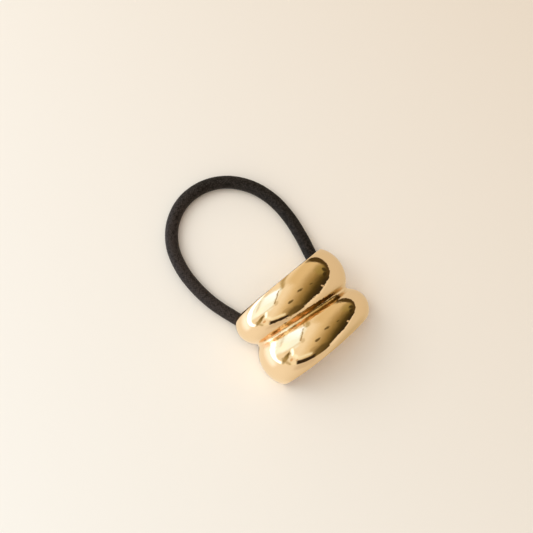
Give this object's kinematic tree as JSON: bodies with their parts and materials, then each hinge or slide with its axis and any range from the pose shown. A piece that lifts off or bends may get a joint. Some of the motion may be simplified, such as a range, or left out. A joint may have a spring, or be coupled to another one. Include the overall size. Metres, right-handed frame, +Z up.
{
  "type": "metal cuff hair tie",
  "caption": "Polished gold-coloured metal cuff with two rounded lobes, arched over the hair and held by a black elastic loop.",
  "frame": {"origin": "on the table, under the middle of the cuff's own box (the elastic left out)", "axes": "+X along the cuff from foot to foot, +Y towards the side where the elastic loop lies, +Z up from the table"},
  "size_m": [0.045, 0.0737, 0.0213],
  "materials": {
    "gold_metal": "mirror-polished gold plate",
    "black_elastic": "fine black braid over a rubber core"
  },
  "bodies": {
    "root": {"cuff": "gold_metal", "elastic": "black_elastic"}
  },
  "joints": []
}
